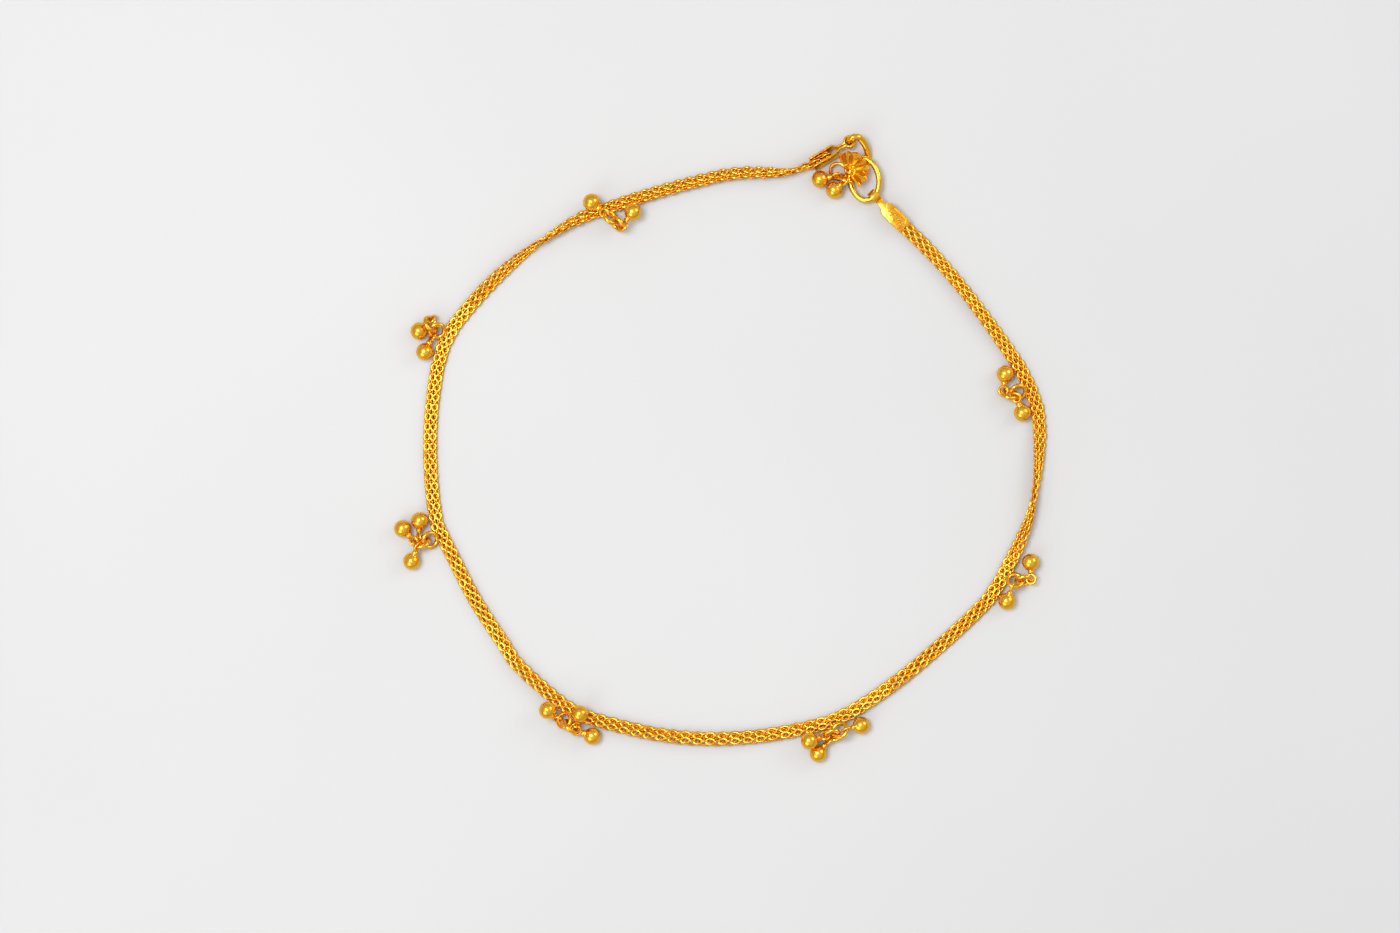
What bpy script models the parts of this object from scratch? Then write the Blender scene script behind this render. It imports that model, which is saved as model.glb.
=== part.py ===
# Gold charm anklet, lying on a flat surface as one closed loop.
# Metres, +Z up, z = 0 is the surface, the origin is the middle of the loop's outline.

import math

import bmesh
import bpy
from mathutils import Matrix, Vector

# The chain: one flat band in place of the double row of small links
CHAIN_WIDTH = 0.0019
CHAIN_THICKNESS = 0.00075
CHAIN_CORNER = 0.0002
CHAIN_STEPS = 80
LIFT_RUN = 0.009

# The chain's route on the surface, from the left cap round the foot side to the right cap
CHAIN_ROUTE = (
    # x, y
    (0.0090, 0.0371),
    (0.0020, 0.0370),
    (-0.0043, 0.0356),
    (-0.0104, 0.0339),
    (-0.0149, 0.0324),
    (-0.0195, 0.0307),
    (-0.0251, 0.0271),
    (-0.0304, 0.0227),
    (-0.0352, 0.0174),
    (-0.0371, 0.0143),
    (-0.0382, 0.0108),
    (-0.0391, 0.0037),
    (-0.0391, -0.0035),
    (-0.0382, -0.0107),
    (-0.0365, -0.0139),
    (-0.0333, -0.0203),
    (-0.0294, -0.0263),
    (-0.0274, -0.0293),
    (-0.0220, -0.0341),
    (-0.0189, -0.0360),
    (-0.0154, -0.0371),
    (-0.0084, -0.0387),
    (-0.0015, -0.0393),
    (0.0054, -0.0389),
    (0.0121, -0.0377),
    (0.0154, -0.0367),
    (0.0184, -0.0352),
    (0.0240, -0.0314),
    (0.0292, -0.0271),
    (0.0342, -0.0225),
    (0.0366, -0.0199),
    (0.0383, -0.0169),
    (0.0413, -0.0105),
    (0.0428, -0.0035),
    (0.0430, 0.0037),
    (0.0421, 0.0071),
    (0.0406, 0.0104),
    (0.0366, 0.0162),
    (0.0326, 0.0215),
    (0.0283, 0.0264),
)

# How the band lies: at 0 it is flat, at 90 it stands on its edge
CHAIN_TILT = (
    # share of the length, degrees
    (0.000, 105),
    (0.014, 105),
    (0.040, 30),
    (0.115, 24),
    (0.140, 24),
    (0.172, 88),
    (0.200, 140),
    (0.225, 172),
    (0.260, 180),
    (0.420, 180),
    (0.460, 155),
    (0.600, 160),
    (0.660, 155),
    (0.700, 175),
    (0.750, 170),
    (0.780, 150),
    (0.8075, 90),
    (0.835, 40),
    (0.850, 10),
    (0.900, 10),
    (0.930, 25),
    (0.965, 15),
    (0.986, 0),
    (1.000, 0),
)

# The rings and ball drops of the charms
RING_MEAN = 0.00099
RING_WIRE = 0.00048
RING_SINK = 0.0002
SOLDER_HEIGHT = 0.00033
EYE_MEAN = 0.00062
EYE_WIRE = 0.0003
EYE_PLAY = 0.00005
NECK_LENGTH = 0.00038
NECK_WIDTH = 0.0007
BALL_DIAMETER = 0.0023

# The charms, from the left cap round. place is a share of the chain's length and side is
# 1 outside the loop. rise and roll tip the soldered ring. turn, reach and height place the
# linked ring, as an angle from straight out and as shares of RING_MEAN, and tip and twist
# lean it. A drop holds its ring (1 soldered, 2 linked), its angle on that ring, its heading
# from straight out, the eye's lean, and the ball's lift as a share of its radius.
CHARMS = (
    {"place": 0.1296, "side": -1, "rise": 35, "roll": -45, "turn": 30, "reach": 1.21,
     "height": 1.82, "tip": 15, "twist": 60,
     "drops": ((1, -125, -150, 0, 0.7), (2, 25, 125, 0, 0.96))},
    {"place": 0.247, "side": 1, "rise": 25, "roll": -20, "turn": -20, "reach": 1.21,
     "height": 1.72, "tip": 15, "twist": 55, "drops": ((2, -75, 70, 0, 0), (1, 85, 90, 0, 0))},
    {"place": 0.3613, "side": 1, "rise": 20, "roll": -20, "turn": -10, "reach": 1.21,
     "height": 1.46, "tip": 5, "twist": 50,
     "drops": ((2, -25, -70, 0, 0), (2, -80, -115, 5, 0), (2, 50, 45, 0, 0))},
    {"place": 0.485, "side": 1, "rise": 0, "roll": 35, "turn": 75, "reach": 1.21,
     "height": 2.02, "tip": 0, "twist": -70,
     "drops": ((1, -65, -105, 5, 0.96), (2, 55, -170, -15, 1.13), (2, 20, 100, 0, 0))},
    {"place": 0.6377, "side": 1, "rise": 30, "roll": 15, "turn": -75, "reach": 1.21,
     "height": 1.62, "tip": -30, "twist": -35,
     "drops": ((2, -45, -95, 0, 0.96), (2, 15, -60, 0, 0), (1, 70, 80, 0, 0))},
    {"place": 0.7643, "side": 1, "rise": 15, "roll": -30, "turn": 30, "reach": 1.21,
     "height": 1.21, "tip": 0, "twist": 60, "drops": ((2, 10, 120, 0, 0), (1, -80, -80, 0, 0))},
    {"place": 0.8744, "side": -1, "rise": 0, "roll": -30, "turn": -10, "reach": 1.21,
     "height": 1.31, "tip": 35, "twist": 50,
     "drops": ((2, -65, -120, 0, 0), (2, 110, 90, -10, 0))},
)

# The end caps: a strip of sheet folded over the chain's end and round an eye
CAP_WALL = 0.00025
CAP_WIDTH = 0.002
CAP_SEAM = 0.0001
CAP_BODY = 0.0035
CAP_SHOULDER = 0.0007
CAP_NECK = 0.0008
CAP_NECK_WIDTH = 0.0009
CAP_EYE_WIDTH = 0.0011
CAP_EYE_BORE = 0.0012
CAP_CLEARANCE = 0.00012
CAP_HOLD = 0.0026
LEFT_CAP_MOUTH = (0.01235, 0.0381)
LEFT_CAP_HEADING = 31
LEFT_CAP_ROLL = 75
RIGHT_CAP_HEADING = 135

# The connector ring, an oval of wire whose left side lies lower
LINK_WIRE = 0.00068
LINK_LENGTH = 0.00636
LINK_WIDTH = 0.0046
LINK_PLACE = (0.01937, 0.03611)
LINK_HEIGHT = 0.00119
LINK_HEADING = 100
LINK_ROLL = 11
LINK_EYE_TURN = 209

# The S hook: its upper bow goes through the left cap's eye, its lower bow round the
# connector. The first rows are from the eye's middle, the others from the connector's.
HOOK_WIRE = 0.00074
HOOK_UPPER = (
    (0.0001, -0.00017, -0.0007),
    (0.00005, -0.00008, -0.00035),
    (0.0, 0.0, 0.0),
    (-0.00003, 0.0002, 0.0006),
    (0.0003, 0.0005, 0.0011),
    (0.0009, 0.00062, 0.0011),
    (0.00145, 0.00042, 0.0008),
    (0.0021, -0.0004, 0.0001),
    (0.00246, -0.00133, -0.00045),
)
HOOK_LOWER = (
    (0.00048, 0.00270, -0.00077),
    (0.0, 0.00169, -0.00079),
    (-0.00062, 0.0013, -0.0007),
    (-0.00087, 0.00162, 0.0),
    (-0.00121, 0.00203, 0.00072),
    (-0.00189, 0.00243, 0.00091),
)

# The fluted shell soldered on the hook's lower end, a fan that opens from its apex
SHELL_RADIUS = 0.003
SHELL_SPREAD = 168
SHELL_NARROW = 0.15
SHELL_RISE = 0.0009
SHELL_WALL = 0.0003
SHELL_FLUTES = 9
SHELL_FLUTE = 0.00007
SHELL_APEX = (-0.00229, 0.00095, 0.00086)
SHELL_HEADING = 34
SHELL_SLOPE = 2
SHELL_ROLL = 0

# The thin ring and its link beside the clasp, with two drops. A place is x, y and z from
# the connector's middle, then heading, rise and roll.
CLASP_RING_WIRE = 0.0003
CLASP_RING_MEAN = 0.00115
CLASP_RING_PLACE = (-0.0035, 0.0011, -0.00035, -150, -30, -5)
CLASP_LINK_MEAN = 0.0013
CLASP_LINK_PLACE = (-0.0024, 0.0001, 0.0002, 135, -55, 55)
CLASP_DROPS = (
    # ring, angle on it, heading from its own, lean, lift
    (2, 60, 55, -40, 0),
    (2, 145, 85, -10, 0),
)

# Ring and drop facets
RING_SIDES = 6
RING_STEPS = 14
EYE_STEPS = 10
BALL_STEPS = 14
BALL_RINGS = 9

GOLD = (0.83, 0.47, 0.09, 1.0)
UP = Vector((0, 0, 1))


def clear_scene():
    for item in list(bpy.data.objects):
        bpy.data.objects.remove(item, do_unlink=True)


def new_collection(name):
    collection = bpy.data.collections.new(name)
    bpy.context.scene.collection.children.link(collection)
    return collection


def gold_material(name, roughness):
    material = bpy.data.materials.new(name)
    material.use_nodes = True
    shader = material.node_tree.nodes["Principled BSDF"]
    shader.inputs["Base Color"].default_value = GOLD
    shader.inputs["Metallic"].default_value = 1.0
    shader.inputs["Roughness"].default_value = roughness
    material.diffuse_color = GOLD
    return material


def heading(degrees):
    angle = math.radians(degrees)
    return Vector((math.cos(angle), math.sin(angle), 0))


def frame(origin, e1, e2):
    # a matrix whose x and y axes are e1 and e2, standing at origin
    matrix = Matrix.Identity(4)
    for column, axis in enumerate((e1, e2, e1.cross(e2), origin)):
        for row in range(3):
            matrix[row][column] = axis[row]
    return matrix


def ring_frame(centre, out, rise, roll):
    # x points out and rises, y runs across and is rolled about x
    side = UP.cross(out)
    e1 = math.cos(math.radians(rise)) * out + math.sin(math.radians(rise)) * UP
    normal = e1.cross(side)
    e2 = math.cos(math.radians(roll)) * side + math.sin(math.radians(roll)) * normal
    return frame(centre, e1, e2)


def smooth_route(points, parts=16):
    # a smooth curve through every point
    ends = [2 * points[0] - points[1], *points, 2 * points[-1] - points[-2]]
    route = []
    for p0, p1, p2, p3 in zip(ends, ends[1:], ends[2:], ends[3:]):
        for step in range(parts):
            t = step / parts
            route.append(
                0.5 * (2 * p1 + (p2 - p0) * t + (2 * p0 - 5 * p1 + 4 * p2 - p3) * t**2
                       + (3 * p1 - p0 - 3 * p2 + p3) * t**3)
            )
    route.append(points[-1].copy())
    return route


def even_points(route, count):
    # points at equal steps along the route
    total = sum((b - a).length for a, b in zip(route, route[1:]))
    wanted = [total * i / (count - 1) for i in range(count)]
    points = [route[0].copy()]
    gone = 0.0
    for a, b in zip(route, route[1:]):
        run = (b - a).length
        while len(points) < count - 1 and wanted[len(points)] <= gone + run:
            points.append(a.lerp(b, (wanted[len(points)] - gone) / run))
        gone += run
    points.append(route[-1].copy())
    return points


def table_value(table, share):
    for (s0, v0), (s1, v1) in zip(table, table[1:]):
        if share <= s1:
            return v0 + (v1 - v0) * (share - s0) / (s1 - s0)
    return table[-1][1]


def new_object(name, data, collection, material=None):
    item = bpy.data.objects.new(name, data)
    collection.objects.link(item)
    if material:
        data.materials.clear()
        data.materials.append(material)
    return item


def wire_curve(name, points, diameter, closed, collection, resolution=2):
    # a round wire through the points
    data = bpy.data.curves.new(name, "CURVE")
    data.dimensions = "3D"
    data.bevel_depth = diameter / 2
    data.bevel_resolution = resolution
    data.use_fill_caps = not closed
    spline = data.splines.new("POLY")
    spline.points.add(len(points) - 1)
    for point, place in zip(spline.points, points):
        point.co = (*place, 1)
    spline.use_cyclic_u = closed
    return new_object(name, data, collection)


def curve_to_mesh(item):
    # the curve becomes a mesh object of the same name, with its caps welded
    bpy.context.view_layer.update()
    depsgraph = bpy.context.evaluated_depsgraph_get()
    mesh = bpy.data.meshes.new_from_object(item.evaluated_get(depsgraph))
    weld(mesh)
    name = item.name
    collection = item.users_collection[0]
    matrix = item.matrix_world.copy()
    bpy.data.objects.remove(item, do_unlink=True)
    solid = new_object(name, mesh, collection)
    solid.name = name
    solid.matrix_world = matrix
    return solid


def weld(mesh):
    shape = bmesh.new()
    shape.from_mesh(mesh)
    bmesh.ops.remove_doubles(shape, verts=shape.verts, dist=0.000001)
    bmesh.ops.recalc_face_normals(shape, faces=shape.faces)
    shape.to_mesh(mesh)
    shape.free()


def split_faces(mesh):
    # faces of many corners become triangles
    shape = bmesh.new()
    shape.from_mesh(mesh)
    large = [face for face in shape.faces if len(face.verts) > 4]
    bmesh.ops.triangulate(shape, faces=large, ngon_method="EAR_CLIP")
    shape.to_mesh(mesh)
    shape.free()


def torus_mesh(name, mean, wire, steps, sides):
    # a plain ring of wire in the xy plane
    shape = bmesh.new()
    section = bmesh.ops.create_circle(shape, cap_ends=False, radius=wire / 2, segments=sides)
    turn = Matrix.Translation((mean, 0, 0)) @ Matrix.Rotation(math.pi / 2, 4, "X")
    bmesh.ops.transform(shape, matrix=turn, verts=section["verts"])
    bmesh.ops.spin(
        shape, geom=shape.verts[:] + shape.edges[:], cent=(0, 0, 0), axis=(0, 0, 1),
        angle=2 * math.pi, steps=steps, use_merge=True,
    )
    bmesh.ops.remove_doubles(shape, verts=shape.verts, dist=0.000001)
    bmesh.ops.recalc_face_normals(shape, faces=shape.faces)
    mesh = bpy.data.meshes.new(name)
    shape.to_mesh(mesh)
    shape.free()
    return mesh


def join_solids(base, others):
    # one solid from base and the others, which are then removed
    for other in others:
        modifier = base.modifiers.new("join_" + other.name, "BOOLEAN")
        modifier.operation = "UNION"
        modifier.solver = "EXACT"
        modifier.object = other
    apply_modifiers(base)
    for other in others:
        bpy.data.objects.remove(other, do_unlink=True)
    return base


def apply_modifiers(item):
    bpy.context.view_layer.update()
    depsgraph = bpy.context.evaluated_depsgraph_get()
    mesh = bpy.data.meshes.new_from_object(item.evaluated_get(depsgraph))
    item.modifiers.clear()
    old = item.data
    item.data = mesh
    mesh.name = item.name
    if old.users == 0:
        bpy.data.meshes.remove(old)


def finish_solid(item, material):
    item.data.materials.clear()
    item.data.materials.append(material)
    if item.type == "MESH":
        item.data.shade_smooth()
        item.data.set_sharp_from_angle(angle=math.radians(40))


# The chain and its route


def band_half_height(tilt):
    angle = math.radians(tilt)
    return CHAIN_WIDTH / 2 * abs(math.sin(angle)) + CHAIN_THICKNESS / 2 * abs(math.cos(angle))


def chain_route(left_cap, right_cap):
    # places of the band's middle, with the tilt at each
    start = left_cap @ Vector((CAP_HOLD, 0, 0))
    stop = right_cap @ Vector((CAP_HOLD, 0, 0))
    mouths = (left_cap.translation, right_cap.translation)
    flat = [start.xy, mouths[0].xy]
    flat += [Vector(row) for row in CHAIN_ROUTE]
    flat += [mouths[1].xy, stop.xy]
    plan = even_points(smooth_route([point.to_3d() for point in flat]), CHAIN_STEPS)
    length = sum((b - a).length for a, b in zip(plan, plan[1:]))
    places = []
    for index, point in enumerate(plan):
        share = index / (CHAIN_STEPS - 1)
        tilt = table_value(CHAIN_TILT, share)
        height = band_half_height(tilt)
        for cap, mouth, gone in ((left_cap, mouths[0], share), (right_cap, mouths[1], 1 - share)):
            beyond = gone * length - CAP_HOLD
            if beyond < 0:
                height = (cap @ Vector((-beyond, 0, 0))).z
            elif beyond < LIFT_RUN:
                fade = 0.5 + 0.5 * math.cos(math.pi * beyond / LIFT_RUN)
                height = max(height, height + fade * (mouth.z - height))
        places.append((point.x, point.y, height, tilt))
    return places


def chain_band(places, collection, guides):
    # the band's section, swept along the places and tilted at each
    corner = CHAIN_CORNER
    half_width = CHAIN_WIDTH / 2
    half_thickness = CHAIN_THICKNESS / 2
    outline = [
        (half_width, half_thickness - corner), (half_width - corner, half_thickness),
        (corner - half_width, half_thickness), (-half_width, half_thickness - corner),
        (-half_width, corner - half_thickness), (corner - half_width, -half_thickness),
        (half_width - corner, -half_thickness), (half_width, corner - half_thickness),
    ]
    section = bpy.data.curves.new("band_section", "CURVE")
    section.dimensions = "2D"
    loop = section.splines.new("POLY")
    loop.points.add(len(outline) - 1)
    for point, place in zip(loop.points, outline):
        point.co = (*place, 0, 1)
    loop.use_cyclic_u = True
    guide = new_object("band_section", section, guides)
    guide.hide_render = True
    guide.display_type = "WIRE"

    data = bpy.data.curves.new("chain", "CURVE")
    data.dimensions = "3D"
    data.twist_mode = "Z_UP"
    data.bevel_mode = "OBJECT"
    data.bevel_object = guide
    data.use_fill_caps = True
    spline = data.splines.new("POLY")
    spline.points.add(len(places) - 1)
    for point, (x, y, z, tilt) in zip(spline.points, places):
        point.co = (x, y, z, 1)
        point.tilt = math.radians(tilt)
    return curve_to_mesh(new_object("chain", data, collection))


def chain_way(places, index):
    # the band's direction at one of its places
    before, after = places[index - 1], places[index + 1]
    return Vector((after[0] - before[0], after[1] - before[1], 0)).normalized()


def chain_at(places, share):
    # the band's middle, its direction and its tilt at a share of the length
    step = share * (len(places) - 1)
    index = int(step)
    part = step - index
    a, b = places[index], places[index + 1]
    middle = Vector(a[:3]).lerp(Vector(b[:3]), part)
    along = chain_way(places, index).lerp(chain_way(places, index + 1), part).normalized()
    return middle, along, a[3] + (b[3] - a[3]) * part


# Charms: a soldered ring, a ring linked through it, and the ball drops


def soldered_ring_frame(places, charm):
    middle, along, tilt = chain_at(places, charm["place"])
    out = Vector((along.y, -along.x, 0)) * charm["side"]
    left = Vector((-along.y, along.x, 0))
    across = math.cos(math.radians(tilt)) * left + math.sin(math.radians(tilt)) * UP
    edge = middle + across * (CHAIN_WIDTH / 2) * (1 if across.dot(out) > 0 else -1)
    near = edge - out * RING_SINK + UP * SOLDER_HEIGHT
    rise = math.radians(charm["rise"])
    centre = near + RING_MEAN * (math.cos(rise) * out + math.sin(rise) * UP)
    return ring_frame(centre, out, charm["rise"], charm["roll"]), out


def linked_ring_frame(inner, out, charm):
    side = UP.cross(out)
    turn = math.radians(charm["turn"])
    way = math.cos(turn) * out + math.sin(turn) * side
    centre = inner.translation + way * charm["reach"] * RING_MEAN
    centre.z = charm["height"] * RING_MEAN
    return ring_frame(centre, way, charm["tip"], charm["twist"])


def drop_frame(ring, mean, out, at, aim, lean, lift):
    # x runs from the eye to the ball, the eye lies in the xy plane
    angle = math.radians(at)
    place = ring @ Vector((mean * math.cos(angle), mean * math.sin(angle), 0))
    tangent = ring.to_3x3() @ Vector((-math.sin(angle), math.cos(angle), 0))
    reach = EYE_PLAY + drop_reach()
    side = UP.cross(out)
    turn = math.radians(aim)
    way = math.cos(turn) * out + math.sin(turn) * side
    drop = max(-0.95, min(0.95, (BALL_DIAMETER / 2 * (1 + lift) - place.z) / reach))
    axis = math.sqrt(1 - drop * drop) * way + drop * UP
    normal = (tangent - tangent.dot(axis) * axis).normalized()
    normal = Matrix.Rotation(math.radians(lean), 3, axis) @ normal
    return frame(place + axis * EYE_PLAY, axis, normal.cross(axis))


def drop_reach():
    return EYE_MEAN + EYE_WIRE / 2 + NECK_LENGTH + BALL_DIAMETER / 2


def drop_mesh(collection):
    # eye, neck and ball as one solid, with the eye's middle at the origin
    eye = new_object("eye", torus_mesh("eye", EYE_MEAN, EYE_WIRE, EYE_STEPS, RING_SIDES), collection)
    shape = bmesh.new()
    turn = Matrix.Translation((drop_reach(), 0, 0)) @ Matrix.Rotation(math.pi / 2, 4, "Y")
    bmesh.ops.create_uvsphere(
        shape, u_segments=BALL_STEPS, v_segments=BALL_RINGS, radius=BALL_DIAMETER / 2, matrix=turn
    )
    ball_mesh = bpy.data.meshes.new("ball")
    shape.to_mesh(ball_mesh)
    shape.free()
    ball = new_object("ball", ball_mesh, collection)
    shape = bmesh.new()
    start = EYE_MEAN
    stop = drop_reach() - BALL_DIAMETER * 0.35
    turn = Matrix.Translation(((start + stop) / 2, 0, 0)) @ Matrix.Rotation(math.pi / 2, 4, "Y")
    bmesh.ops.create_cone(
        shape, cap_ends=True, segments=8, radius1=NECK_WIDTH / 2, radius2=NECK_WIDTH / 2,
        depth=stop - start, matrix=turn,
    )
    neck_mesh = bpy.data.meshes.new("neck")
    shape.to_mesh(neck_mesh)
    shape.free()
    neck = new_object("neck", neck_mesh, collection)
    solid = join_solids(ball, [neck, eye])
    mesh = solid.data.copy()
    bpy.data.objects.remove(solid, do_unlink=True)
    return mesh


def build_charms(places, chain, collection, gold):
    pattern = drop_mesh(collection)
    soldered = []
    count = 0
    for number, charm in enumerate(CHARMS, start=1):
        inner, out = soldered_ring_frame(places, charm)
        outer = linked_ring_frame(inner, out, charm)
        ring = new_object(
            f"solder_ring_{number}",
            torus_mesh("ring", RING_MEAN, RING_WIRE, RING_STEPS, RING_SIDES), collection,
        )
        ring.matrix_world = inner
        soldered.append(ring)
        loose = new_object(
            f"outer_ring_{number}",
            torus_mesh("ring", RING_MEAN, RING_WIRE, RING_STEPS, RING_SIDES), collection,
        )
        loose.matrix_world = outer
        finish_solid(loose, gold)
        for on, *row in charm["drops"]:
            count += 1
            item = new_object(f"drop_{count:02d}", pattern.copy(), collection)
            item.matrix_world = drop_frame((inner, outer)[on - 1], RING_MEAN, out, *row)
            finish_solid(item, gold)
    join_solids(chain, soldered)
    finish_solid(chain, gold)
    return pattern, count


# Caps


def cap_length():
    return CAP_BODY + CAP_SHOULDER + CAP_NECK + CAP_EYE_BORE / 2 + CAP_WALL


def cap_half_thickness():
    return CHAIN_THICKNESS / 2 + CAP_CLEARANCE + CAP_WALL


def arc(centre, radius, start, stop, steps):
    return [
        (centre[0] + radius * math.cos(math.radians(start + (stop - start) * i / steps)),
         centre[1] + radius * math.sin(math.radians(start + (stop - start) * i / steps)))
        for i in range(steps + 1)
    ]


def flat_plate(name, outlines, thickness, collection):
    # a closed outline with its holes, as thick as asked
    data = bpy.data.curves.new(name, "CURVE")
    data.dimensions = "2D"
    data.fill_mode = "BOTH"
    data.extrude = thickness / 2
    for outline in outlines:
        loop = data.splines.new("POLY")
        loop.points.add(len(outline) - 1)
        for point, place in zip(loop.points, outline):
            point.co = (*place, 0, 1)
        loop.use_cyclic_u = True
    return curve_to_mesh(new_object(name, data, collection))


def build_cap(name, place, collection, gold):
    # the folded strip seen along its width: two walls, a neck and an eye
    half = cap_half_thickness()
    slot = half - CAP_WALL
    seam = CAP_SEAM / 2
    neck = seam + CAP_WALL
    shoulder = CAP_BODY + CAP_SHOULDER
    eye = (cap_length(), 0)
    bore = CAP_EYE_BORE / 2
    rim = bore + CAP_WALL
    outer_gap = math.degrees(math.asin(neck / rim))
    inner_gap = math.degrees(math.asin(seam / bore))
    side = [(0, -half), (CAP_BODY, -half), (shoulder, -neck)]
    side += arc(eye, rim, 180 + outer_gap, 540 - outer_gap, 14)
    side += [(shoulder, neck), (CAP_BODY, half), (0, half), (0, slot)]
    side += [(CAP_BODY, slot), (shoulder, seam)]
    side += arc(eye, bore, 180 - inner_gap, inner_gap - 180, 12)
    side += [(shoulder, -seam), (CAP_BODY, -slot), (0, -slot)]
    cap = flat_plate(name, [side], CAP_WIDTH, collection)
    # its outline seen on the face: straight walls, a narrow neck and the wider eye
    wide = CAP_WIDTH / 2
    thin = CAP_NECK_WIDTH / 2
    bulb = CAP_EYE_WIDTH / 2
    far = cap_length() + rim * 1.5
    near = cap_length() - rim
    half_face = [(-wide, wide), (CAP_BODY, wide), (shoulder, thin), (near, thin)]
    half_face += [(near + rim / 2, bulb), (far, bulb)]
    face = half_face + [(x, -y) for x, y in reversed(half_face)]
    cutter = flat_plate(name + "_face", [face], CAP_WIDTH * 2, collection)
    cutter.matrix_world = Matrix.Rotation(math.pi / 2, 4, "X")
    trim = cap.modifiers.new("trim", "BOOLEAN")
    trim.operation = "INTERSECT"
    trim.solver = "EXACT"
    trim.object = cutter
    apply_modifiers(cap)
    bpy.data.objects.remove(cutter, do_unlink=True)
    split_faces(cap.data)
    cap.matrix_world = place
    finish_solid(cap, gold)
    return cap


def cap_frame(origin, way, pitch, roll):
    # x runs to the eye, y across the sheet, z along its width
    axis = math.cos(pitch) * way + math.sin(pitch) * UP
    across = UP.cross(way)
    upper = axis.cross(across)
    width = math.cos(math.radians(roll)) * across + math.sin(math.radians(roll)) * upper
    return frame(origin, axis, width.cross(axis))


def left_cap_frame():
    roll = math.radians(LEFT_CAP_ROLL)
    height = CAP_WIDTH / 2 * math.sin(roll) + cap_half_thickness() * math.cos(roll)
    origin = Vector((*LEFT_CAP_MOUTH, height))
    return cap_frame(origin, heading(LEFT_CAP_HEADING), 0, LEFT_CAP_ROLL)


def right_cap_frame(link):
    # the eye stands on the connector's wire and the mouth lies on the surface
    turn = math.radians(LINK_EYE_TURN)
    length, width = link_means()
    eye = link @ Vector((length * math.cos(turn), width * math.sin(turn), 0))
    pitch = math.asin((eye.z - cap_half_thickness()) / cap_length())
    way = heading(RIGHT_CAP_HEADING)
    origin = eye - cap_length() * (math.cos(pitch) * way + math.sin(pitch) * UP)
    return cap_frame(origin, way, pitch, 0)


# Connector, hook, shell and clasp rings


def link_means():
    return (LINK_LENGTH - LINK_WIRE) / 2, (LINK_WIDTH - LINK_WIRE) / 2


def link_frame():
    centre = Vector((*LINK_PLACE, LINK_HEIGHT))
    return ring_frame(centre, heading(LINK_HEADING), 0, -LINK_ROLL)


def build_link(link, collection, gold):
    length, width = link_means()
    steps = 28
    points = []
    for index in range(steps):
        turn = 2 * math.pi * index / steps
        points.append((length * math.cos(turn), width * math.sin(turn), 0))
    ring = curve_to_mesh(
        wire_curve("connector_ring", points, LINK_WIRE, True, collection, resolution=2)
    )
    ring.matrix_world = link
    finish_solid(ring, gold)


def build_hook(eye, link, collection, gold):
    points = [eye + Vector(row) for row in HOOK_UPPER]
    points += [link.translation + Vector(row) for row in HOOK_LOWER]
    route = even_points(smooth_route(points), 34)
    hook = curve_to_mesh(wire_curve("hook", route, HOOK_WIRE, False, collection, resolution=2))
    shell = build_shell(collection)
    shell.matrix_world = shell_frame(link)
    join_solids(hook, [shell])
    finish_solid(hook, gold)


def shell_frame(link):
    # the apex is the origin, x runs down the fan's middle
    centre = link.translation + Vector(SHELL_APEX)
    return ring_frame(centre, heading(SHELL_HEADING), -SHELL_SLOPE, SHELL_ROLL)


def shell_height(share, turn):
    # a dome over the fan with flutes that grow to the rim
    dome = SHELL_RISE * (1 - share**2) * min(1, share * 2.2 + 0.25)
    flute = SHELL_FLUTE * share * math.cos(SHELL_FLUTES * turn * 2 * math.pi)
    return dome + flute


def build_shell(collection):
    # a fan of rows from the apex to the rim, thickened to a wall
    shape = bmesh.new()
    columns = SHELL_FLUTES * 4
    rows = 5
    grid = []
    for row in range(rows + 1):
        share = 0.12 + 0.88 * row / rows
        line = []
        for column in range(columns + 1):
            turn = column / columns
            angle = math.radians((turn - 0.5) * SHELL_SPREAD)
            reach = SHELL_RADIUS * (1 - SHELL_NARROW * (2 * abs(turn - 0.5)) ** 2)
            reach *= share
            line.append(shape.verts.new((
                reach * math.cos(angle), reach * math.sin(angle), shell_height(share, turn)
            )))
        grid.append(line)
    for low, high in zip(grid, grid[1:]):
        for a, b, c, d in zip(low, low[1:], high[1:], high):
            shape.faces.new((a, d, c, b))
    mesh = bpy.data.meshes.new("shell")
    shape.to_mesh(mesh)
    shape.free()
    shell = new_object("shell", mesh, collection)
    wall = shell.modifiers.new("wall", "SOLIDIFY")
    wall.thickness = SHELL_WALL
    wall.offset = -1
    apply_modifiers(shell)
    weld(shell.data)
    return shell


def build_clasp_charm(link, pattern, count, collection, gold):
    rings = []
    for name, mean, row in (
        ("clasp_ring", CLASP_RING_MEAN, CLASP_RING_PLACE),
        ("clasp_link", CLASP_LINK_MEAN, CLASP_LINK_PLACE),
    ):
        out = heading(row[3])
        ring = ring_frame(link.translation + Vector(row[:3]), out, row[4], row[5])
        rings.append((ring, mean, out))
        mesh = torus_mesh(name, mean, CLASP_RING_WIRE, RING_STEPS, RING_SIDES)
        item = new_object(name, mesh, collection)
        item.matrix_world = ring
        finish_solid(item, gold)
    for on, *row in CLASP_DROPS:
        count += 1
        item = new_object(f"drop_{count:02d}", pattern.copy(), collection)
        item.matrix_world = drop_frame(*rings[on - 1], *row)
        finish_solid(item, gold)


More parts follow.
